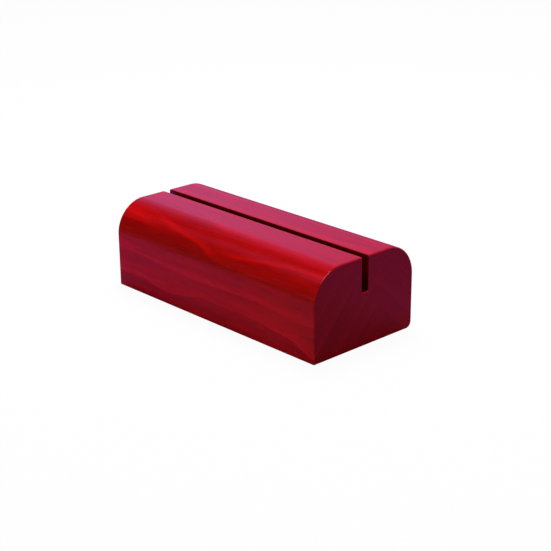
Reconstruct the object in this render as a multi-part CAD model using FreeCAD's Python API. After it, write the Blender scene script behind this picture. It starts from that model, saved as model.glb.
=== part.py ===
import FreeCAD, Part
import math
import os

# A photo block: one solid length of wood with a slot sawn along its top.
# A photo panel stands on edge in the slot.
# X runs along the slot, +Y towards the back and +Z up, in millimetres.
# The origin is the middle of the underside.

# Block
BLOCK_LENGTH = 150.0
BLOCK_DEPTH = 68.6
BLOCK_HEIGHT = 46.3

# Large rounds along the front and back edges of the top
TOP_ROUND_RADIUS = 17.6

# Small round along the back edge of the underside
BACK_FOOT_RADIUS = 3.5

# Sanded edges round both ends and along the front edge of the underside
END_EDGE_RADIUS = 1.0

# Slot, along the middle of the top from end to end
SLOT_WIDTH = 4.2
SLOT_DEPTH = 18.2
SLOT_FLOOR_RADIUS = 0.4

# Sanded edges of the slot, at its mouth and at both ends
SLOT_EDGE_RADIUS = 0.5

# How far the slot's cutter runs past the block
CUTTER_OVERRUN = 5.0

# Two surfaces nearer than this touch
TOUCH_DISTANCE = 0.001

# The slot's sanded edges follow the block's sanded ends and stay tighter than they are
TIGHTER_EDGE_SHARE = 0.9


def line(start, end):
    """Straight edge of an outline."""
    return Part.LineSegment(start, end).toShape()


def quarter_arc(centre, radius, start_turn):
    """Quarter of a circle across the block. It starts so many quarter turns past +Y and turns towards +Z."""
    points = []
    for quarter_turns in (start_turn, start_turn + 0.5, start_turn + 1):
        angle = quarter_turns * math.pi / 2
        points.append(centre + FreeCAD.Vector(0, radius * math.cos(angle), radius * math.sin(angle)))
    return Part.Arc(points[0], points[1], points[2]).toShape()


def extruded(edges, length):
    """Solid made by drawing a closed outline along +X."""
    outline = Part.Wire(Part.__sortEdges__(edges))
    return Part.Face(outline).extrude(FreeCAD.Vector(length, 0, 0))


def block_blank():
    """The moulded length of wood, with sharp ends and no slot."""
    left = -BLOCK_LENGTH / 2
    front = -BLOCK_DEPTH / 2
    back = BLOCK_DEPTH / 2
    top = BLOCK_HEIGHT
    round_base = BLOCK_HEIGHT - TOP_ROUND_RADIUS
    front_inner = front + TOP_ROUND_RADIUS
    back_inner = back - TOP_ROUND_RADIUS
    front_round_centre = FreeCAD.Vector(left, front_inner, round_base)
    back_round_centre = FreeCAD.Vector(left, back_inner, round_base)
    foot_centre = FreeCAD.Vector(left, back - BACK_FOOT_RADIUS, BACK_FOOT_RADIUS)
    edges = [
        line(FreeCAD.Vector(left, front, 0), FreeCAD.Vector(left, foot_centre.y, 0)),
        quarter_arc(foot_centre, BACK_FOOT_RADIUS, -1),
        line(FreeCAD.Vector(left, back, foot_centre.z), FreeCAD.Vector(left, back, round_base)),
        quarter_arc(back_round_centre, TOP_ROUND_RADIUS, 0),
        line(FreeCAD.Vector(left, back_inner, top), FreeCAD.Vector(left, front_inner, top)),
        quarter_arc(front_round_centre, TOP_ROUND_RADIUS, 1),
        line(FreeCAD.Vector(left, front, round_base), FreeCAD.Vector(left, front, 0)),
    ]
    return extruded(edges, BLOCK_LENGTH)


def is_front_foot_edge(edge):
    """Whether an edge is the long front edge of the underside."""
    return all(
        abs(vertex.Y + BLOCK_DEPTH / 2) < TOUCH_DISTANCE and abs(vertex.Z) < TOUCH_DISTANCE
        for vertex in edge.Vertexes
    )


def is_end_edge(edge):
    """Whether an edge lies in the plane of either end, so that it has no length along X."""
    return edge.BoundBox.XLength < TOUCH_DISTANCE


def sanded_block():
    """The blank with its ends and the front edge of its underside sanded round."""
    blank = block_blank()
    edges = [edge for edge in blank.Edges if is_end_edge(edge) or is_front_foot_edge(edge)]
    return blank.makeFillet(END_EDGE_RADIUS, edges)


def slot_cutter():
    """The space that the slot takes out of the block, with small rounds at its floor's corners."""
    left = -BLOCK_LENGTH / 2 - CUTTER_OVERRUN
    front = -SLOT_WIDTH / 2
    back = SLOT_WIDTH / 2
    floor = BLOCK_HEIGHT - SLOT_DEPTH
    top = BLOCK_HEIGHT + CUTTER_OVERRUN
    front_corner = FreeCAD.Vector(left, front + SLOT_FLOOR_RADIUS, floor + SLOT_FLOOR_RADIUS)
    back_corner = FreeCAD.Vector(left, back - SLOT_FLOOR_RADIUS, floor + SLOT_FLOOR_RADIUS)
    edges = [
        line(FreeCAD.Vector(left, front_corner.y, floor), FreeCAD.Vector(left, back_corner.y, floor)),
        quarter_arc(back_corner, SLOT_FLOOR_RADIUS, -1),
        line(FreeCAD.Vector(left, back, back_corner.z), FreeCAD.Vector(left, back, top)),
        line(FreeCAD.Vector(left, back, top), FreeCAD.Vector(left, front, top)),
        line(FreeCAD.Vector(left, front, top), FreeCAD.Vector(left, front, front_corner.z)),
        quarter_arc(front_corner, SLOT_FLOOR_RADIUS, -2),
    ]
    return extruded(edges, BLOCK_LENGTH + 2 * CUTTER_OVERRUN)


def lies_on(edge, solid):
    """Whether the middle of an edge lies on a solid's surface."""
    middle = edge.valueAt((edge.FirstParameter + edge.LastParameter) / 2)
    return solid.Shells[0].distToShape(Part.Vertex(middle))[0] < TOUCH_DISTANCE


def wood_block():
    """The whole photo block: the sanded block with its slot cut and the slot's edges sanded."""
    block = sanded_block()
    cutter = slot_cutter()
    slotted = block.cut(cutter)
    slot_edges = [edge for edge in slotted.Edges if lies_on(edge, block) and lies_on(edge, cutter)]
    edge_radius = min(SLOT_EDGE_RADIUS, END_EDGE_RADIUS * TIGHTER_EDGE_SHARE)
    return slotted.makeFillet(edge_radius, slot_edges)


def main():
    """Write each piece of the photo block to its own file."""
    os.makedirs("parts", exist_ok=True)
    pieces = {"wood_block": wood_block()}
    for name, solid in pieces.items():
        solid.exportStep(os.path.join("parts", name + ".step"))
        print(name, "valid", solid.isValid(), "solids", len(solid.Solids), "faces", len(solid.Faces))
        print(name, "volume", solid.Volume, "box", solid.optimalBoundingBox(True, False))


main()
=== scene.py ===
import math

import bmesh
import bpy
from mathutils import Matrix, Vector


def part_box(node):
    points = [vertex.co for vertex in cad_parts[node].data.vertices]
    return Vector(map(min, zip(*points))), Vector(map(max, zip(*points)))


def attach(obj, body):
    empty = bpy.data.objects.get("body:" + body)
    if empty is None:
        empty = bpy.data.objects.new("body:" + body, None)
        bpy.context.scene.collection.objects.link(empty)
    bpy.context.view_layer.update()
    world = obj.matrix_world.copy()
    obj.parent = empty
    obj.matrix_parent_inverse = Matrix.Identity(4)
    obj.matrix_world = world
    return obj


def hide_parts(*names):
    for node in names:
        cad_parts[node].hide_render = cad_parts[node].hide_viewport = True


bl_info = {
    "name": "Photo block",
    "version": (1, 0, 0),
    "blender": (4, 5, 0),
    "location": "View3D > Sidebar > Photo block",
    "description": "A stained and lacquered wooden block with a slot that holds a photo upright",
    "category": "Object",
}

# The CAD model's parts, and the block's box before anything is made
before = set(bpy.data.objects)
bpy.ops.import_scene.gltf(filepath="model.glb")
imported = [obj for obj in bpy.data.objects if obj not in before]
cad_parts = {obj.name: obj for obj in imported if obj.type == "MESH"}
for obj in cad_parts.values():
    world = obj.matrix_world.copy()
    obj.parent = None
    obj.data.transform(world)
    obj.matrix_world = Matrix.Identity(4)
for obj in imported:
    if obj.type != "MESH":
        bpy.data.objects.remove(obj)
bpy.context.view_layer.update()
CAD_LOW, CAD_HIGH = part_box("wood_block")
CAD_SIZE = CAD_HIGH - CAD_LOW

# Sizes of the block that its box doesn't give, in metres
TOP_ROUND = 0.0176
FOOT_ROUND = 0.0035
END_ROUND = 0.001
SLOT_WIDTH = 0.0042
SLOT_DEPTH = 0.0182
SLOT_FLOOR_ROUND = 0.0004
SLOT_EDGE_ROUND = 0.0005

# How many facets go round each kind of edge
TOP_ROUND_FACETS = 40
FOOT_ROUND_FACETS = 10
END_ROUND_FACETS = 6
SLOT_FLOOR_FACETS = 4
SLOT_EDGE_FACETS = 5

# Points nearer than this are one point, and faces whose normals agree this well are one face
TOUCH = 1e-6
FLUSH = 0.9999

MILLIMETRES = 1000.0
WHITE = (1.0, 1.0, 1.0, 1.0)
BLACK = (0.0, 0.0, 0.0, 1.0)


class BlockSizes(bpy.types.PropertyGroup):
    """Sizes of the block, which start at the CAD model's."""

    length: bpy.props.FloatProperty(
        name="Length",
        description="Along the slot",
        default=CAD_SIZE.x,
        unit="LENGTH",
    )
    depth: bpy.props.FloatProperty(
        name="Depth",
        description="From the front to the back",
        default=CAD_SIZE.y,
        unit="LENGTH",
    )
    height: bpy.props.FloatProperty(
        name="Height",
        description="From the underside to the top",
        default=CAD_SIZE.z,
        unit="LENGTH",
    )
    top_round: bpy.props.FloatProperty(
        name="Top round",
        description="Radius of both long top edges",
        default=TOP_ROUND,
        unit="LENGTH",
    )
    foot_round: bpy.props.FloatProperty(
        name="Foot round",
        description="Radius of the back edge of the underside",
        default=FOOT_ROUND,
        unit="LENGTH",
    )
    end_round: bpy.props.FloatProperty(
        name="End round",
        description="Radius of the sanded edges round both ends",
        default=END_ROUND,
        unit="LENGTH",
    )
    slot_width: bpy.props.FloatProperty(
        name="Slot width",
        description="Room for the photo panel",
        default=SLOT_WIDTH,
        unit="LENGTH",
    )
    slot_depth: bpy.props.FloatProperty(
        name="Slot depth",
        description="From the top to the slot's floor",
        default=SLOT_DEPTH,
        unit="LENGTH",
    )
    slot_floor_round: bpy.props.FloatProperty(
        name="Slot floor round",
        description="Radius of the slot floor's corners",
        default=SLOT_FLOOR_ROUND,
        unit="LENGTH",
    )
    slot_edge_round: bpy.props.FloatProperty(
        name="Slot edge round",
        description="Radius of the slot's sanded edges",
        default=SLOT_EDGE_ROUND,
        unit="LENGTH",
    )


class WoodFinish(bpy.types.PropertyGroup):
    """Colour and gloss of the stained wood."""

    stain: bpy.props.FloatVectorProperty(
        name="Stain",
        description="Red of the stained wood",
        default=(0.42, 0.0, 0.0),
        subtype="COLOR",
    )
    end_grain: bpy.props.FloatProperty(
        name="End grain",
        description="How light the end grain is beside the long grain",
        default=0.7,
        subtype="FACTOR",
    )
    roughness: bpy.props.FloatProperty(
        name="Lacquer roughness",
        description="How much the lacquer blurs reflections",
        default=0.2,
        subtype="FACTOR",
    )
    grain: bpy.props.FloatProperty(
        name="Grain",
        description="How strongly the grain shows",
        default=1.0,
        subtype="FACTOR",
    )


class StudioLight(bpy.types.PropertyGroup):
    """Strength of the lamp and of the pale surround."""

    key: bpy.props.FloatProperty(
        name="Softbox",
        description="Power of the softbox",
        default=8.9,
        unit="POWER",
    )
    fill: bpy.props.FloatProperty(
        name="Fill",
        description="Strength of the even light from all round",
        default=0.36,
    )
    bounce: bpy.props.FloatProperty(
        name="Bounce",
        description="How much light the floor throws back",
        default=0.85,
        subtype="FACTOR",
    )
    shadow: bpy.props.FloatProperty(
        name="Shadow",
        description="How much of the floor's white a shadow takes away",
        default=0.05,
        subtype="FACTOR",
    )


class Shade:
    """A shader socket that takes part in sums, so that a pattern reads as arithmetic."""

    def __init__(self, book, socket):
        self.book = book
        self.socket = socket

    def math(self, operation, *others):
        return self.book.math(operation, self, *others)

    def at_least(self, least):
        return self.math("MAXIMUM", least)

    def at_most(self, most):
        return self.math("MINIMUM", most)

    def step(self, start, end, before=0.0, after=1.0):
        """Smooth change from one value to another as this one goes from start to end."""
        return self.book.node(
            "ShaderNodeMapRange",
            {"interpolation_type": "SMOOTHSTEP"},
            {"Value": self, "From Min": start, "From Max": end, "To Min": before, "To Max": after},
        )

    def __add__(self, other):
        return self.math("ADD", other)

    def __radd__(self, other):
        return self.math("ADD", other)

    def __sub__(self, other):
        return self.math("SUBTRACT", other)

    def __rsub__(self, other):
        return self.book.math("SUBTRACT", other, self)

    def __mul__(self, other):
        return self.math("MULTIPLY", other)

    def __truediv__(self, other):
        return self.math("DIVIDE", other)


class NodeBook:
    """The nodes of one material or world."""

    def __init__(self, tree):
        self.tree = tree
        tree.nodes.clear()

    def node(self, kind, settings=None, values=None, output=0):
        """A node of a kind, with its settings made first and then its sockets filled or linked."""
        made = self.tree.nodes.new(kind)
        for name, value in (settings or {}).items():
            setattr(made, name, value)
        for key, value in (values or {}).items():
            if isinstance(value, Shade):
                self.tree.links.new(value.socket, made.inputs[key])
            else:
                made.inputs[key].default_value = value
        return Shade(self, made.outputs[output]) if len(made.outputs) else made

    def math(self, operation, *values):
        return self.node("ShaderNodeMath", {"operation": operation}, dict(enumerate(values)))

    def vector_math(self, operation, first, second, output=0):
        values = {0: first, 1: second}
        return self.node("ShaderNodeVectorMath", {"operation": operation}, values, output)

    def axis(self, vector, name):
        return self.node("ShaderNodeSeparateXYZ", None, {0: vector}, name)

    def toward(self, direction, aim):
        """Close to 1 where a direction points at the aim, and less beside it."""
        return self.vector_math("DOT_PRODUCT", direction, aim, "Value")

    def ray(self, kind):
        """1 for rays of one kind, such as those that the camera sends out."""
        return self.node("ShaderNodeLightPath", output=kind)

    def noise(self, point, scale, detail, seed, roughness):
        """Noise about zero, with a scale for each axis."""
        stretched = self.vector_math("MULTIPLY", point, scale)
        moved = self.vector_math("ADD", stretched, Vector(SEED_SHIFT) * seed)
        made = self.node(
            "ShaderNodeTexNoise",
            {"noise_dimensions": "3D", "normalize": True},
            {"Vector": moved, "Scale": 1.0, "Detail": detail, "Roughness": roughness},
        )
        return made - 0.5

    def mix_colour(self, factor, first, second):
        """The first colour at 0 and the second at 1. The node's colour sockets are 6, 7 and output 2."""
        return self.node("ShaderNodeMix", {"data_type": "RGBA"}, {0: factor, 6: first, 7: second}, 2)

    def mix_shader(self, factor, first, second):
        return self.node("ShaderNodeMixShader", None, {0: factor, 1: first, 2: second})

    def background(self, colour, strength):
        return self.node("ShaderNodeBackground", None, {"Color": colour, "Strength": strength})


# The wood's pattern is in millimetres: along counts from the middle to the right, across from the front
# to the back and up from the underside. A change reads (start, end, value before, value after), and goes
# from 0 to 1 where it has no values. A line reads how far it reaches below and above its brightest place.
# A tone is a share of the stain.

# Growth rings in the end grain: they rise to the back, flatten near the top and arch over behind the slot.
# Each pair is for across and up.
RING_RISE = (0.749, 0.663)
RING_FLATTENING_START = 30.0
RING_FLATTENING = 0.025
RING_FALL = (0.68, 0.73)
RING_FALL_START = 63.0
RING_CROWN = 8.0
RING_SWAY = 1.5

# The upper line on the front: how deep its ring lies, how it slopes and waves, and its light wood
UPPER_DEPTH = -13.9
UPPER_SLOPE = 0.008
UPPER_WAVE = (95.0, 30.0)
UPPER_SWING = 0.53
UPPER_REACH = 2.4
UPPER_CRISPNESS = 0.4
UPPER_TONE = 0.34

# The lower line on the front: the depth of its ring changes four times along the block
LOWER_DEPTHS = (
    (-58.0, -36.0, -6.35, -4.85),
    (-32.0, -4.0, 0.0, -2.85),
    (22.0, 60.0, 0.0, 1.5),
    (56.0, 78.0, 0.0, 4.4),
)
LOWER_REACH = 3.0
LOWER_CRISPNESS = 0.45
LOWER_TONES = ((-25.0, 0.0, 0.36, 0.2), (15.0, 50.0, 0.0, 0.2))
LOWER_DARK_FADE = (4.0, 11.0, 1.0, 0.0)
LOWER_DARK_TONE = 0.14
FRONT_LINES_FADE = (20.0, 28.0, 1.0, 0.25)

# Deeper rings: depth, length and crest of the wave, reach and tone of the light wood
DEEP_RINGS = (
    (1.8, 130.0, -20.0, 2.4, 0.14),
    (9.6, 120.0, 30.0, 3.0, 0.28),
    (18.4, 150.0, -30.0, 3.0, 0.26),
    (24.0, 140.0, 10.0, 2.0, 0.22),
    (31.0, 125.0, 50.0, 3.0, 0.24),
)
DEEP_SWING = 1.2
DEEP_CRISPNESS = 0.5

# Outer wood on the front round, whose lower edge drops from the left arm of the V to the right. Its heights
# and those of the V, the patch, the band and the flare follow the surface: up the front, over the round and
# on across the top.
OUTER_EDGE = (-16.0, 7.0, 39.5, 32.9)
OUTER_EDGE_BLUR = (-0.2, 0.4)
OUTER_TOP = (54.0, 57.0, 1.0, 0.3)
OUTER_TONE = (-60.0, 5.0, 0.27, 0.18)
OUTER_FADE_UP = (46.0, 52.0)
OUTER_FADE_ALONG = (-20.0, 10.0, 0.5, 0.0)
RIM_PLACE = 0.5
RIM_LINE = (0.6, 1.6)
RIM_TONES = ((-14.0, -5.0, 0.0, 0.22), (-1.0, 7.0, 0.0, -0.12))

# Arms of the V: each has a foot, a slope away from the middle, a line and its tone along the block
LEFT_FOOT = 37.4
LEFT_SLOPE = 0.171
LEFT_DROP = (-6.0, 6.0, 0.0, 1.0)
LEFT_LINE = (1.8, 2.8)
LEFT_TONE = (-52.0, -40.0, 0.0, 0.46)
LEFT_END = (-2.0, 4.0, 1.0, 0.0)
RIGHT_FOOT = 37.1
RIGHT_SLOPE = 0.122
RIGHT_CLIMB = 6.8
RIGHT_LEVELLING = 2.0
RIGHT_LINE = (1.0, 2.8)
RIGHT_TONE = (30.0, 65.0, 0.58, 0.4)
RIGHT_START = (3.0, 20.0)

# Light patch at the left end with a line of its own, which climbs to the left
PATCH_FOOT = (39.4, 40.4)
PATCH_TOP = (45.5, 51.0, 1.0, 0.0)
PATCH_TONE = (-64.0, -36.0, 0.24, 0.0)
END_LINE_FOOT = 33.54
END_LINE_SLOPE = 0.16
END_LINE = (2.4, 3.0)
END_LINE_TONE = (-64.0, -46.0, 0.3, 0.0)

# Pale band over the V, and a flare that climbs from it to the left
BAND_FOOT = (-14.0, 10.0, 51.4, 48.2)
BAND_EDGE_BLUR = (-0.3, 0.6)
BAND_TOP = (54.0, 57.0, 1.0, 0.0)
BAND_TONE = (-30.0, 25.0, 0.04, 0.15)
FLARE_FOOT = 52.0
FLARE_SLOPE = 0.33
FLARE_WIDTH = 3.0
FLARE_START = (-42.0, -20.0)
FLARE_END = (0.0, 8.0, 1.0, 0.0)
FLARE_TONE = 0.2
FRONT_ROUND_FADE = (20.0, 28.0, 1.0, 0.0)

# Lighter wood on the top with a line behind the slot and at the left end, and painted bounce light
# from the floor at the foot
TOP_START = (44.0, 46.0)
TOP_TONE = (18.0, 24.0, 0.0, 0.06)
BACK_LINE_PLACE = 39.3
BACK_LINE = (2.2, 3.2)
BACK_LINE_TONE = (5.0, 40.0, 0.08, 0.3)
FOOT_BOUNCE_LIGHT = (1.0, 8.0, 0.16, 0.0)
LEFT_END_TONE = (-74.0, -58.0, 0.07, 0.0)

# Noises of the texture: how fine they are along, across and up in patches a millimetre, how many finer
# layers they have, their seed, and how rough the finer layers are. A seed shifts a noise along each axis.
SEED_SHIFT = (1.0, 1.7, 2.3)
SWAY = ((0.02, 0.03, 0.03), 2.0, 3.0, 0.5)
CLOUDS = ((0.03, 0.08, 0.08), 2.0, 7.0, 0.5)
STREAKS = ((0.025, 0.36, 0.36), 2.0, 11.0, 0.5)
FIBRES = ((0.07, 1.1, 1.1), 3.0, 23.0, 0.6)
PORES = ((0.16, 4.2, 4.2), 1.0, 41.0, 0.5)
CLOUD_TONE = 0.3
STREAK_TONE = 0.45
FIBRE_TONE = 0.75
PORE_EDGE = (0.14, 0.24)
PORE_TONE = 0.06

# Year rings in the end grain, and the plain tone with its slope along the block
YEAR_WIDTH = 2.7
YEAR_WANDER = 2.0
YEAR_TONE = 0.08
PLAIN_TONE = 0.94
TONE_SLOPE = 0.0007

# Sanded edges, whose lightening is partly a painted highlight, the sawn slot, whose darkening is partly
# painted shade that deepens down it, and the painted highlight on the lip of its floor. Fades and bands
# count inwards from the end, spreads outwards from the slot's wall, and drops and darkness down from the
# top. The slot's floor and the lip's low and high edges count down from the slot's floor, and the end's edge
# starts at a height over the underside, so that its painted highlight lies only on the upper part.
END_GRAIN_FADE = (0.4, 0.05)
END_EDGE_BAND = (0.9, 0.5)
END_EDGE_HIGHLIGHT_START = (28.0, 36.0)
MOUTH_SPREAD = (0.6, 0.4)
MOUTH_DROP = (0.8, 0.4)
WEAR_AND_HIGHLIGHT_TONE = 0.3
SAWN_AND_SHADED_SPREAD = (0.25, 0.05)
SAWN_AND_SHADED_FLOOR = (0.2, 0.0)
SAWN_AND_SHADED_DARKNESS = (5.0, 15.0, 0.62, 0.82)
LIP_BAND = (0.8, 0.4)
LIP_SPREAD = (0.4, 0.1)
LIP_LOW = (0.7, 0.4)
LIP_HIGH = (-0.3, -0.1)
LIP_HIGHLIGHT_TONE = 0.7
END_CONTRAST = 0.6

# Lacquer and the relief under it, whose height is in metres
LACQUER_IOR = 1.5
FIBRE_ROUGHNESS = 0.05
END_ROUGHNESS = 0.04
BUMP_STRENGTH = 0.12
BUMP_HEIGHT = 0.00008
PORE_BUMP = 0.3

# The colour mix runs from black to this many times the stain
BRIGHTEST = 2.0


def wave(along, length, crest):
    """Cosine along the block with its crest at a place."""
    return ((along - crest) * (math.tau / length)).math("COSINE")


def light_wood(past, reach, crispness):
    """Light wood that grows over a reach to a ring's edge and stops there. Past counts from the edge."""
    growth = (past.at_most(0.0) / reach).math("EXPONENT")
    return growth * past.step(0.0, crispness, 1.0, 0.0)


def streak(past, below, above):
    """A light line with its reach below and above its brightest place, from which past counts."""
    return past.step(-below, 0.0) * past.step(0.0, above, 1.0, 0.0)


def sum_of_steps(along, changes):
    """A value that changes several times along the block."""
    return sum(along.step(*change) for change in changes)


def ring_depth(book, across, up, sway):
    """How deep in the growth rings a place lies. Places on the same ring have the same depth."""
    near_top = (up - RING_FLATTENING_START).at_least(0.0)
    rising = across * RING_RISE[0] - up * RING_RISE[1] + sway * RING_SWAY
    rising = rising - near_top * near_top * RING_FLATTENING
    falling = RING_FALL_START - across * RING_FALL[0] - up * RING_FALL[1]
    return book.math("SMOOTH_MIN", rising, falling, RING_CROWN)


def girth(book, sizes, across, up):
    """Distance up the front, over the front round and on across the top."""
    radius = sizes.top_round * MILLIMETRES
    straight = sizes.height * MILLIMETRES - radius
    turn = book.math("ARCTAN2", (up - straight).at_least(0.0), (radius - across).at_least(0.0))
    return up.at_most(straight) + turn * radius + (across - radius).at_least(0.0)


def front_lines(along, depth):
    """The two lines on the front, and the dark wood under the lower one."""
    upper = along * UPPER_SLOPE + UPPER_DEPTH - wave(along, *UPPER_WAVE) * UPPER_SWING
    light = light_wood(depth - upper, UPPER_REACH, UPPER_CRISPNESS) * UPPER_TONE
    past_lower = depth - sum_of_steps(along, LOWER_DEPTHS)
    lower = light_wood(past_lower, LOWER_REACH, LOWER_CRISPNESS) * sum_of_steps(along, LOWER_TONES)
    dark = past_lower.step(0.0, LOWER_CRISPNESS) * past_lower.step(*LOWER_DARK_FADE)
    return light + lower - dark * LOWER_DARK_TONE


def deep_rings(along, depth):
    """Rings that show in the end grain, at the back and beneath."""
    light = 0.0
    for place, length, crest, reach, tone in DEEP_RINGS:
        past = depth - place + wave(along, length, crest) * DEEP_SWING
        light = light + light_wood(past, reach, DEEP_CRISPNESS) * tone
    return light


def outer_ring(book, along, height):
    """Light wood on the front round, where the outermost ring only just breaks the surface in a wide V."""
    to_left = (0.0 - along).at_least(0.0)
    to_right = along.at_least(0.0)

    past_edge = height - along.step(*OUTER_EDGE)
    outer = past_edge.step(*OUTER_EDGE_BLUR) * height.step(*OUTER_TOP) * along.step(*OUTER_TONE)
    light = outer * (1.0 - height.step(*OUTER_FADE_UP) * along.step(*OUTER_FADE_ALONG))
    light = light + streak(past_edge - RIM_PLACE, *RIM_LINE) * sum_of_steps(along, RIM_TONES)

    left = to_left * LEFT_SLOPE + LEFT_FOOT - along.step(*LEFT_DROP)
    left_arm = streak(height - left, *LEFT_LINE) * along.step(*LEFT_TONE) * along.step(*LEFT_END)
    right = book.math("SMOOTH_MIN", to_right * RIGHT_SLOPE, RIGHT_CLIMB, RIGHT_LEVELLING) + RIGHT_FOOT
    right_arm = streak(height - right, *RIGHT_LINE) * along.step(*RIGHT_TONE) * along.step(*RIGHT_START)

    patch = height.step(*PATCH_FOOT) * height.step(*PATCH_TOP) * along.step(*PATCH_TONE)
    end_line = streak(height - END_LINE_FOOT - to_left * END_LINE_SLOPE, *END_LINE)
    patch = patch + end_line * along.step(*END_LINE_TONE)
    past_band = height - along.step(*BAND_FOOT)
    band = past_band.step(*BAND_EDGE_BLUR) * height.step(*BAND_TOP) * along.step(*BAND_TONE)
    from_flare = (height - FLARE_FOOT - to_left * FLARE_SLOPE).math("ABSOLUTE")
    flare = from_flare.step(0.0, FLARE_WIDTH, 1.0, 0.0) * along.step(*FLARE_START)
    flare = flare * along.step(*FLARE_END) * FLARE_TONE
    return light + left_arm + right_arm + patch + band + flare


def wood_tone_with_foot_bounce(book, sizes, point, at_end):
    """Wood tone, 1 being the named stain, with fibres, pores and painted floor bounce at the foot."""
    along = book.axis(point, "X")
    across = book.axis(point, "Y")
    up = book.axis(point, "Z")
    sway = book.noise(point, *SWAY)
    depth = ring_depth(book, across, up, sway)
    height = girth(book, sizes, across, up) + sway * RING_SWAY
    light = front_lines(along, depth) * across.step(*FRONT_LINES_FADE) + deep_rings(along, depth)
    on_front_round = across.step(*FRONT_ROUND_FADE) * (1.0 - at_end)
    light = light + outer_ring(book, along, height) * on_front_round
    behind_slot = streak(across - BACK_LINE_PLACE, *BACK_LINE) * along.step(*BACK_LINE_TONE)
    on_top = up.step(*TOP_START) * (1.0 - at_end)
    light = light + on_top * (across.step(*TOP_TONE) + behind_slot)
    # The foot's lighter tone is painted bounce light from the floor, fading upwards
    light = light + up.step(*FOOT_BOUNCE_LIGHT) + along.step(*LEFT_END_TONE)

    clouds = book.noise(point, *CLOUDS)
    streaks = book.noise(point, *STREAKS)
    fibres = book.noise(point, *FIBRES)
    pores = book.noise(point, *PORES).step(*PORE_EDGE)
    years = wave(depth + streaks * YEAR_WANDER, YEAR_WIDTH, 0.0) * at_end
    texture = clouds * CLOUD_TONE + streaks * STREAK_TONE + fibres * FIBRE_TONE
    texture = texture + years * YEAR_TONE - pores * PORE_TONE
    return along * TONE_SLOPE + PLAIN_TONE + light + texture, fibres, pores


def edge_and_slot(shade, sizes, from_end, from_slot, from_top, at_end):
    """The shade with lighter sanded edges, partly painted highlight, a darker sawn slot, partly painted
    shade, and a painted highlight on the lip of its floor.
    """
    up = sizes.height * MILLIMETRES - from_top
    past_wall = from_slot - sizes.slot_width / 2 * MILLIMETRES
    past_floor = from_top - sizes.slot_depth * MILLIMETRES
    # Lighter end edges and slot mouth: partly sanded wear, partly a painted highlight on the upper edges
    worn_highlit_end_edge = from_end.step(*END_EDGE_BAND) * (1.0 - at_end) * up.step(*END_EDGE_HIGHLIGHT_START)
    worn_highlit_mouth = past_wall.step(*MOUTH_SPREAD) * from_top.step(*MOUTH_DROP)
    # Darker slot: partly sawn wood, partly painted shade that deepens down the slot
    sawn_and_shaded = past_wall.step(*SAWN_AND_SHADED_SPREAD) * past_floor.step(*SAWN_AND_SHADED_FLOOR)
    # Painted highlight on the lip of the slot's floor at both ends
    lip_highlight = from_end.step(*LIP_BAND) * past_wall.step(*LIP_SPREAD)
    lip_highlight = lip_highlight * past_floor.step(*LIP_LOW) * past_floor.step(*LIP_HIGH)
    shade = shade + worn_highlit_end_edge.at_least(worn_highlit_mouth) * WEAR_AND_HIGHLIGHT_TONE
    return shade * (1.0 - sawn_and_shaded * from_top.step(*SAWN_AND_SHADED_DARKNESS)) + lip_highlight * LIP_HIGHLIGHT_TONE


def stained_wood(sizes, finish):
    """Red stain in the grain, under a satin lacquer."""
    material = bpy.data.materials.new("stained_wood")
    material.use_nodes = True
    book = NodeBook(material.node_tree)
    place = book.node("ShaderNodeTexCoord", output="Object")
    from_front = book.vector_math("ADD", place, (0.0, sizes.depth / 2, 0.0))
    point = book.vector_math("MULTIPLY", from_front, (MILLIMETRES, MILLIMETRES, MILLIMETRES))
    from_end = sizes.length / 2 * MILLIMETRES - book.axis(point, "X").math("ABSOLUTE")
    from_slot = (book.axis(point, "Y") - sizes.depth / 2 * MILLIMETRES).math("ABSOLUTE")
    from_top = sizes.height * MILLIMETRES - book.axis(point, "Z")

    at_end = from_end.step(*END_GRAIN_FADE)
    tone, fibres, pores = wood_tone_with_foot_bounce(book, sizes, point, at_end)
    long_grain = (tone - 1.0) * finish.grain + 1.0
    end_grain = ((tone - 1.0) * END_CONTRAST * finish.grain + 1.0) * finish.end_grain
    shade = long_grain * (1.0 - at_end) + end_grain * at_end
    shade = edge_and_slot(shade, sizes, from_end, from_slot, from_top, at_end)

    brightest = tuple(BRIGHTEST * part for part in finish.stain) + (1.0,)
    colour = book.mix_colour(shade / BRIGHTEST, BLACK, brightest)
    roughness = finish.roughness + fibres * FIBRE_ROUGHNESS + at_end * END_ROUGHNESS
    relief = {"Strength": BUMP_STRENGTH, "Distance": BUMP_HEIGHT, "Height": fibres - pores * PORE_BUMP}
    bump = book.node("ShaderNodeBump", None, relief)
    lacquered = {"Base Color": colour, "Roughness": roughness, "IOR": LACQUER_IOR, "Normal": bump}
    surface = book.node("ShaderNodeBsdfPrincipled", None, lacquered)
    book.node("ShaderNodeOutputMaterial", None, {"Surface": surface})
    return material


def middle(edge):
    """Place of an edge's middle."""
    return (edge.verts[0].co + edge.verts[1].co) / 2


def runs_along(edge):
    """Whether an edge runs along the block."""
    span = edge.verts[1].co - edge.verts[0].co
    return abs(span.x) > TOUCH and abs(span.y) < TOUCH and abs(span.z) < TOUCH


def is_foot_edge(edge, across):
    """Whether an edge is the long edge of the underside at a place across the block."""
    return runs_along(edge) and (middle(edge) - Vector((0.0, across, 0.0))).length < TOUCH


def round_over(mesh, edges, radius, facets):
    """Round some edges of the mesh over to a radius."""
    bmesh.ops.bevel(
        mesh,
        geom=edges,
        offset=radius,
        offset_type="OFFSET",
        segments=facets,
        profile=0.5,
        affect="EDGES",
        material=-1,
        clamp_overlap=False,
        loop_slide=True,
    )


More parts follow.
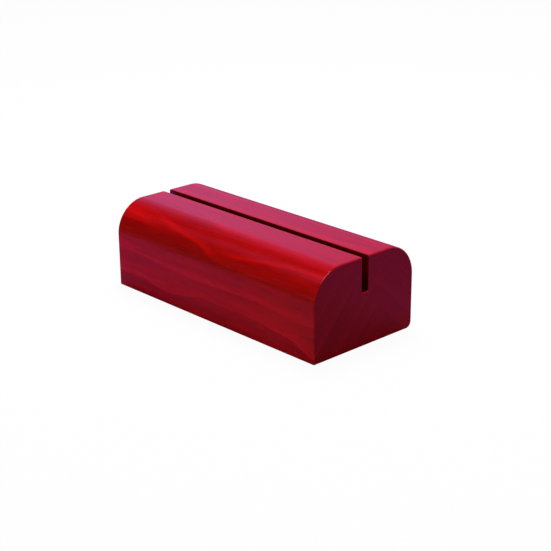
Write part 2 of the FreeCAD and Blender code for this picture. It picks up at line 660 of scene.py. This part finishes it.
def block_blank(sizes):
    """The block with its rounds and its sanded edges, before the slot is sawn."""
    mesh = bmesh.new()
    bmesh.ops.create_cube(mesh, size=1.0)
    bmesh.ops.scale(mesh, vec=(sizes.length, sizes.depth, sizes.height), verts=mesh.verts)
    bmesh.ops.translate(mesh, vec=(0.0, 0.0, sizes.height / 2), verts=mesh.verts)
    front = -sizes.depth / 2
    back = sizes.depth / 2
    top_edges = [e for e in mesh.edges if runs_along(e) and abs(middle(e).z - sizes.height) < TOUCH]
    round_over(mesh, top_edges, sizes.top_round, TOP_ROUND_FACETS)
    foot = [e for e in mesh.edges if is_foot_edge(e, back)]
    round_over(mesh, foot, sizes.foot_round, FOOT_ROUND_FACETS)
    sanded = [
        e
        for e in mesh.edges
        if abs(abs(middle(e).x) - sizes.length / 2) < TOUCH or is_foot_edge(e, front)
    ]
    round_over(mesh, sanded, sizes.end_round, END_ROUND_FACETS)
    return mesh


def cut(mesh, faces, point, normal):
    """Cut some faces of the mesh along a plane."""
    chosen = set(faces)
    edges = [e for e in mesh.edges if chosen.intersection(e.link_faces)]
    verts = [v for v in mesh.verts if chosen.intersection(v.link_faces)]
    bmesh.ops.bisect_plane(
        mesh,
        geom=faces + edges + verts,
        dist=TOUCH,
        plane_co=point,
        plane_no=normal,
    )


def saw_slot(mesh, sizes):
    """Cut the slot out of the top from end to end, and line it with its walls and floor."""
    half = sizes.slot_width / 2
    floor = sizes.height - sizes.slot_depth

    def over_slot(face):
        sides = [v.co.y for v in face.verts]
        top = max(v.co.z for v in face.verts)
        return min(sides) < -TOUCH and max(sides) > TOUCH and top > floor + TOUCH

    def inside_slot(face):
        return all(abs(v.co.y) < half + TOUCH and v.co.z > floor - TOUCH for v in face.verts)

    def at_floor(edge):
        return all(abs(v.co.z - floor) < TOUCH for v in edge.verts)

    def is_seam(edge):
        if not at_floor(edge) or abs(middle(edge).y) < half + TOUCH or len(edge.link_faces) != 2:
            return False
        return edge.link_faces[0].normal.dot(edge.link_faces[1].normal) > FLUSH

    # Cut the outline of the slot into both ends and its mouth into the top
    for point, normal in (
        ((0.0, 0.0, floor), (0.0, 0.0, 1.0)),
        ((0.0, -half, 0.0), (0.0, 1.0, 0.0)),
        ((0.0, half, 0.0), (0.0, 1.0, 0.0)),
    ):
        cut(mesh, [f for f in mesh.faces if over_slot(f)], point, normal)

    # Take out what lies inside it, lay its floor and raise its walls
    bmesh.ops.delete(mesh, geom=[f for f in mesh.faces if inside_slot(f)], context="FACES")
    sills = [e for e in mesh.edges if e.is_boundary and at_floor(e)]
    bmesh.ops.bridge_loops(mesh, edges=sills)
    bmesh.ops.holes_fill(mesh, edges=[e for e in mesh.edges if e.is_boundary], sides=0)

    # Heal the ends beside the slot, and round the slot's edges
    bmesh.ops.dissolve_edges(mesh, edges=[e for e in mesh.edges if is_seam(e)], use_verts=True)
    bmesh.ops.recalc_face_normals(mesh, faces=mesh.faces)
    corners = [
        e
        for e in mesh.edges
        if runs_along(e) and at_floor(e) and abs(abs(middle(e).y) - half) < TOUCH
    ]
    round_over(mesh, corners, sizes.slot_floor_round, SLOT_FLOOR_FACETS)
    rim = [e for e in mesh.edges if sum(inside_slot(f) for f in e.link_faces) == 1]
    round_over(mesh, rim, sizes.slot_edge_round, SLOT_EDGE_FACETS)


def placed_mesh(mesh, name, material):
    """A mesh as an object in the scene, with its material."""
    data = bpy.data.meshes.new(name)
    mesh.to_mesh(data)
    mesh.free()
    data.materials.append(material)
    made = bpy.data.objects.new(name, data)
    bpy.context.scene.collection.objects.link(made)
    return made


def finished_piece(mesh, name, material):
    """The mesh as an object at the origin, whose shading follows its broad faces."""
    bmesh.ops.remove_doubles(mesh, verts=mesh.verts, dist=TOUCH)
    bmesh.ops.recalc_face_normals(mesh, faces=mesh.faces)
    open_edges = [e for e in mesh.edges if not e.is_manifold]
    if open_edges:
        raise RuntimeError(f"{name} has {len(open_edges)} open edges")
    for face in mesh.faces:
        face.smooth = True
    piece = placed_mesh(mesh, name, material)
    piece.modifiers.new("Even shading", "WEIGHTED_NORMAL").mode = "FACE_AREA"
    return piece


class PHOTO_BLOCK_OT_make_block(bpy.types.Operator):
    """Make the stained wooden block with its slot."""

    bl_idname = "photo_block.make_block"
    bl_label = "Make block"

    def execute(self, context):
        sizes = context.scene.photo_block_sizes
        mesh = block_blank(sizes)
        saw_slot(mesh, sizes)
        material = stained_wood(sizes, context.scene.photo_block_finish)
        piece = finished_piece(mesh, "stained_block", material)
        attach(piece, "root")
        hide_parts("wood_block")
        return {"FINISHED"}


# Camera, turned round the middle of the block and then shifted. Distances are in metres, the lens and its
# sensor in millimetres.
VIEW_AZIMUTH = math.radians(47.006)
VIEW_ELEVATION = math.radians(20.668)
VIEW_ROLL = math.radians(-0.431)
VIEW_DISTANCE = 0.7082
VIEW_SIDEWAYS = 0.008392
VIEW_UPWARDS = -0.006409
LENS = 89.46
SENSOR_WIDTH = 36.0

# Lamp above the block
LAMP_DIRECTION = (-0.15, 0.20, 0.97)
LAMP_DISTANCE = 1.1
LAMP_SIDE = 0.5

# Floor, just beneath the block so that the two don't meet
FLOOR_SIDE = 8.0
FLOOR_GAP = 0.00005

# Casts of what the lacquer mirrors
BACKDROP_CAST = (1.0, 0.32, 0.88, 1.0)
FLOOR_CAST = (0.85, 0.08, 0.62, 1.0)
SOFTBOX_CAST = (1.0, 0.45, 0.75, 1.0)

# Mirrored backdrop, by direction from the block: it brightens to the back from a start over a reach, is
# brighter to the left and weaker near the floor
BACKDROP_START = -0.14
BACKDROP_REACH = 0.74
BACKDROP_SIDE = (-0.8, -0.56, 1.35, 0.65)
BACKDROP_LOW = (0.02, 0.26, 0.55, 1.0)
BACKDROP_GLOW = 0.72

# Mirrored ceiling over the front on the left, and mirrored softbox over the right. Each glows by how
# closely a direction points at its aim.
CEILING_AIM = (-0.52, -0.33, 0.79)
CEILING_GLOW = (0.945, 0.995, 0.0, 0.5)
SOFTBOX_AIM = (0.62, -0.12, 0.77)
SOFTBOX_GLOW = (0.915, 0.98, 0.0, 4.5)

# Even light, which is weaker from the back on the right
WEAK_AIM = (0.55, 0.83, 0.0)
WEAK_EDGE = (0.5, 0.95)
WEAK_SHARE = 0.15

# Floor as the lacquer mirrors it, with places in metres from the block's middle
FRONT_FLOOR_EDGE = (-0.17, -0.11)
FRONT_FLOOR_GLOW = (-0.12, 0.02, 0.42, 0.19)
RIGHT_FLOOR_GLOW = (0.06, 0.10, 0.0, 0.44)
RIGHT_FLOOR_EDGE = (0.0, 0.06, 0.35, 1.0)

# Light that the floor throws back, which is weaker on the right
BOUNCE_EDGE = (0.06, 0.10)
BOUNCE_SHARE = 0.45


def make_camera():
    """The camera at the photo's angle."""
    back = Vector((
        math.sin(VIEW_AZIMUTH) * math.cos(VIEW_ELEVATION),
        -math.cos(VIEW_AZIMUTH) * math.cos(VIEW_ELEVATION),
        math.sin(VIEW_ELEVATION),
    ))
    level = Vector((math.cos(VIEW_AZIMUTH), math.sin(VIEW_AZIMUTH), 0.0))
    upright = back.cross(level)
    right = level * math.cos(VIEW_ROLL) + upright * math.sin(VIEW_ROLL)
    up = upright * math.cos(VIEW_ROLL) - level * math.sin(VIEW_ROLL)
    middle_of_block = Vector((0.0, 0.0, CAD_SIZE.z / 2))
    place = middle_of_block + back * VIEW_DISTANCE + right * VIEW_SIDEWAYS + up * VIEW_UPWARDS
    data = bpy.data.cameras.new("Camera")
    data.sensor_width = SENSOR_WIDTH
    data.lens = LENS
    camera = bpy.data.objects.new("Camera", data)
    turn = Matrix((right, up, back)).transposed().to_4x4()
    camera.matrix_world = Matrix.Translation(place) @ turn
    bpy.context.scene.collection.objects.link(camera)
    bpy.context.scene.camera = camera


def make_softbox(power):
    """The square soft lamp over the block, which the lacquer doesn't mirror."""
    data = bpy.data.lights.new("Softbox", "AREA")
    data.shape = "SQUARE"
    data.size = LAMP_SIDE
    data.energy = power
    lamp = bpy.data.objects.new("Softbox", data)
    aim = Vector(LAMP_DIRECTION).normalized()
    lamp.location = aim * LAMP_DISTANCE
    lamp.visible_glossy = False
    lamp.rotation_mode = "QUATERNION"
    lamp.rotation_quaternion = aim.to_track_quat("Z", "Y")
    bpy.context.scene.collection.objects.link(lamp)


def seen_directly(book):
    """1 for what the camera sees, straight or through glass."""
    return book.ray("Is Camera Ray").at_least(book.ray("Is Transmission Ray"))


def make_surround(light):
    """White where the camera sees it, an even fill, and a pale backdrop and softbox in the lacquer."""
    world = bpy.data.worlds.new("Surround")
    world.use_nodes = True
    book = NodeBook(world.node_tree)
    direction = book.node("ShaderNodeTexCoord", output="Generated")
    behind = (book.axis(direction, "Y") - BACKDROP_START) / BACKDROP_REACH
    behind = behind.at_least(0.0).at_most(1.0)
    beside = book.axis(direction, "X").step(*BACKDROP_SIDE)
    low = book.axis(direction, "Z").step(*BACKDROP_LOW)
    glow = behind * behind * beside * low * BACKDROP_GLOW
    glow = glow + book.toward(direction, CEILING_AIM).step(*CEILING_GLOW)
    backdrop = book.background(BACKDROP_CAST, glow)
    softbox = book.background(SOFTBOX_CAST, book.toward(direction, SOFTBOX_AIM).step(*SOFTBOX_GLOW))
    mirrored = book.node("ShaderNodeAddShader", None, {0: backdrop, 1: softbox})

    weak = book.toward(direction, WEAK_AIM)
    fill = book.background(WHITE, weak.step(*WEAK_EDGE, light.fill, light.fill * WEAK_SHARE))
    unseen = book.mix_shader(book.ray("Is Glossy Ray"), fill, mirrored)
    surface = book.mix_shader(seen_directly(book), unseen, book.background(WHITE, 1.0))
    book.node("ShaderNodeOutputWorld", None, {"Surface": surface})
    bpy.context.scene.world = world


def floor_paper(light):
    """Pale paper: white to the camera but for the block's shadow, and a pale sweep in the lacquer."""
    material = bpy.data.materials.new("floor_paper")
    material.use_nodes = True
    book = NodeBook(material.node_tree)
    place = book.node("ShaderNodeTexCoord", output="Object")
    along = book.axis(place, "X")
    across = book.axis(place, "Y")
    front = across.step(*FRONT_FLOOR_EDGE) * along.step(*FRONT_FLOOR_GLOW)
    right = along.step(*RIGHT_FLOOR_GLOW) * across.step(*RIGHT_FLOOR_EDGE)
    mirrored = book.mix_colour(front.at_least(right), BLACK, FLOOR_CAST)
    bounce = along.step(*BOUNCE_EDGE, light.bounce, light.bounce * BOUNCE_SHARE)
    bounce = book.mix_colour(bounce, BLACK, WHITE)
    paper = book.mix_colour(book.ray("Is Glossy Ray"), bounce, mirrored)

    seen = seen_directly(book)
    shadowed = (light.shadow, light.shadow, light.shadow, 1.0)
    lit = book.node("ShaderNodeBsdfDiffuse", None, {"Color": book.mix_colour(seen, paper, shadowed)})
    unlit = {"Color": WHITE, "Strength": seen * (1.0 - light.shadow)}
    white = book.node("ShaderNodeEmission", None, unlit)
    surface = book.node("ShaderNodeAddShader", None, {0: lit, 1: white})
    book.node("ShaderNodeOutputMaterial", None, {"Surface": surface})
    return material


class PHOTO_BLOCK_OT_make_stage(bpy.types.Operator):
    """Make the pale floor, the soft light and the camera."""

    bl_idname = "photo_block.make_stage"
    bl_label = "Make stage"

    def execute(self, context):
        light = context.scene.photo_block_light
        mesh = bmesh.new()
        bmesh.ops.create_grid(mesh, x_segments=1, y_segments=1, size=FLOOR_SIDE / 2)
        bmesh.ops.translate(mesh, vec=(0.0, 0.0, -FLOOR_GAP), verts=mesh.verts)
        floor = placed_mesh(mesh, "floor", floor_paper(light))
        make_surround(light)
        make_softbox(light.key)
        make_camera()
        context.scene.view_settings.view_transform = "Standard"
        return {"FINISHED"}


class PHOTO_BLOCK_PT_panel(bpy.types.Panel):
    """Sizes, finish and light of the photo block, and the steps that make it."""

    bl_label = "Photo block"
    bl_space_type = "VIEW_3D"
    bl_region_type = "UI"
    bl_category = "Photo block"

    def draw(self, context):
        for title, group in (
            ("Sizes", context.scene.photo_block_sizes),
            ("Finish", context.scene.photo_block_finish),
            ("Light", context.scene.photo_block_light),
        ):
            box = self.layout.box()
            box.label(text=title)
            for name in group.bl_rna.properties.keys():
                if name not in ("rna_type", "name"):
                    box.prop(group, name)
        self.layout.operator(PHOTO_BLOCK_OT_make_block.bl_idname)
        self.layout.operator(PHOTO_BLOCK_OT_make_stage.bl_idname)


CLASSES = (
    BlockSizes,
    WoodFinish,
    StudioLight,
    PHOTO_BLOCK_OT_make_block,
    PHOTO_BLOCK_OT_make_stage,
    PHOTO_BLOCK_PT_panel,
)


def register():
    for each in CLASSES:
        bpy.utils.register_class(each)
    bpy.types.Scene.photo_block_sizes = bpy.props.PointerProperty(type=BlockSizes)
    bpy.types.Scene.photo_block_finish = bpy.props.PointerProperty(type=WoodFinish)
    bpy.types.Scene.photo_block_light = bpy.props.PointerProperty(type=StudioLight)


def unregister():
    del bpy.types.Scene.photo_block_light
    del bpy.types.Scene.photo_block_finish
    del bpy.types.Scene.photo_block_sizes
    for each in reversed(CLASSES):
        bpy.utils.unregister_class(each)


def main():
    register()
    bpy.ops.photo_block.make_block()
    bpy.ops.photo_block.make_stage()


if __name__ == "__main__":
    main()
